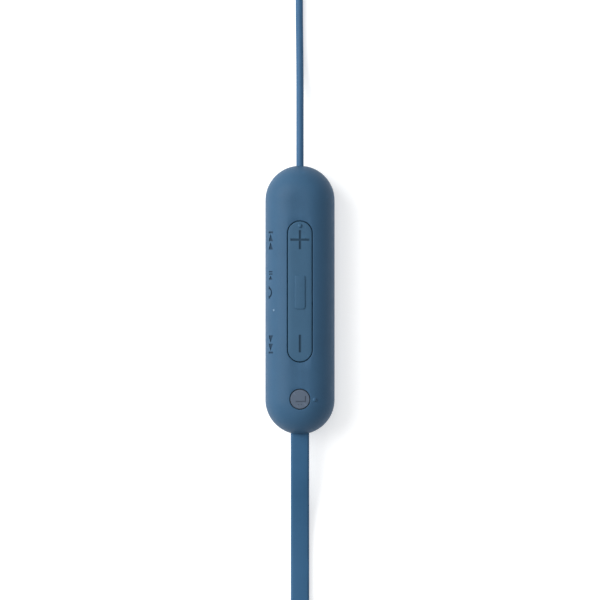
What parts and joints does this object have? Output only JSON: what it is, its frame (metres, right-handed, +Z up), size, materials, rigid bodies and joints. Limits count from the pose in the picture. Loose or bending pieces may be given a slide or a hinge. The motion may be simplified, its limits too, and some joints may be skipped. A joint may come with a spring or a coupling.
{
  "type": "neckband earphones",
  "caption": "Wired-together wireless neckband earphones: a control pod with a rocker strip between a thin ear lead and a flat neck cord.",
  "frame": {"origin": "centre of the control pod's flat back, which rests on the surface", "axes": "+Y along the pod towards the ear lead, +Z up out of the keys, +X to the right of the keys"},
  "size_m": [0.028, 0.327, 0.0117],
  "materials": {
    "shell_plastic": "satin soft-touch blue",
    "key_plastic": "satin blue",
    "power_key_plastic": "matte greyish blue",
    "inner_plastic": "moulded black",
    "silicone": "matte silicone",
    "rubber": "matte moulded rubber",
    "thin_cord_jacket": "satin jacket",
    "flat_cord_jacket": "matte jacket",
    "clip_plastic": "satin",
    "lens": "clear diffusing",
    "board": "solder mask",
    "chips": "moulded epoxy",
    "plated_steel": "nickel plated",
    "magnet": "nickel plated",
    "copper": "enamelled copper",
    "film": "thin film and foam",
    "cell_wrap": "aluminised pouch"
  },
  "bodies": {
    "harness": {"control_front_shell": "shell_plastic", "control_rear_shell": "shell_plastic", "indicator_lens": "lens", "indicator_led": "chips", "main_board": "board", "radio_chip": "chips", "power_chip": "chips", "shield_can": "plated_steel", "chip_antenna": "chips", "small_components": "chips", "plus_switch": "inner_plastic", "minus_switch": "inner_plastic", "play_switch_base": "inner_plastic", "power_switch_base": "inner_plastic", "microphone": "inner_plastic", "microphone_sleeve": "rubber", "usb_shell": "plated_steel", "usb_tongue": "inner_plastic", "control_thin_grommet": "rubber", "control_flat_grommet": "rubber", "lead_wires": "copper", "board_screws": "plated_steel", "battery_front_shell": "shell_plastic", "battery_rear_shell": "shell_plastic", "battery_cell": "cell_wrap", "protection_board": "board", "foam_pad": "film", "battery_flat_grommet": "rubber", "battery_outlet_gland": "rubber", "bud_front_housing": "shell_plastic", "bud_rear_housing": "shell_plastic", "nozzle_mesh": "plated_steel", "driver_frame": "inner_plastic", "driver_yoke": "plated_steel", "driver_magnet": "magnet", "voice_coil": "copper", "diaphragm": "film", "cable_boot": "rubber", "thin_cord_run": "thin_cord_jacket", "thin_cord_coil": "thin_cord_jacket", "thin_cord_lead": "thin_cord_jacket", "flat_cord_run": "flat_cord_jacket", "flat_cord_twist": "flat_cord_jacket", "flat_cord_loop": "flat_cord_jacket", "flat_cord_rise": "flat_cord_jacket", "cord_clip": "clip_plastic"},
    "play_key": {"key_pivot": "inner_plastic", "play_switch_stem": "inner_plastic"},
    "volume_rocker": {"key_plate": "key_plastic"},
    "power_key": {"power_button": "power_key_plastic", "power_switch_stem": "inner_plastic"},
    "port_flap": {"port_cover": "rubber"},
    "silicone_tip": {"ear_tip": "silicone"}
  },
  "joints": [
    {"name": "play_press", "type": "slide", "parent": "harness", "child": "play_key", "axis": [0, 0, -1], "range_m": [0, 0.0002], "stiffness_N_per_m": 3000},
    {"name": "rocker_tilt", "type": "hinge", "parent": "play_key", "child": "volume_rocker", "pos_m": [0, 0.00183, 0.00908], "axis": [1, 0, 0], "range_deg": [-1, 1], "stiffness_Nm_per_rad": 0.6},
    {"name": "power_press", "type": "slide", "parent": "harness", "child": "power_key", "axis": [0, 0, -1], "range_m": [0, 0.00025], "stiffness_N_per_m": 3000},
    {"name": "port_cover_swing", "type": "hinge", "parent": "harness", "child": "port_flap", "pos_m": [0.00754, -0.0054, 0.0033], "axis": [0, 0, -1], "range_deg": [0, 110]},
    {"name": "ear_tip_pull", "type": "slide", "parent": "harness", "child": "silicone_tip", "axis": [1, 0, 0], "range_m": [0, 0.007]}
  ]
}
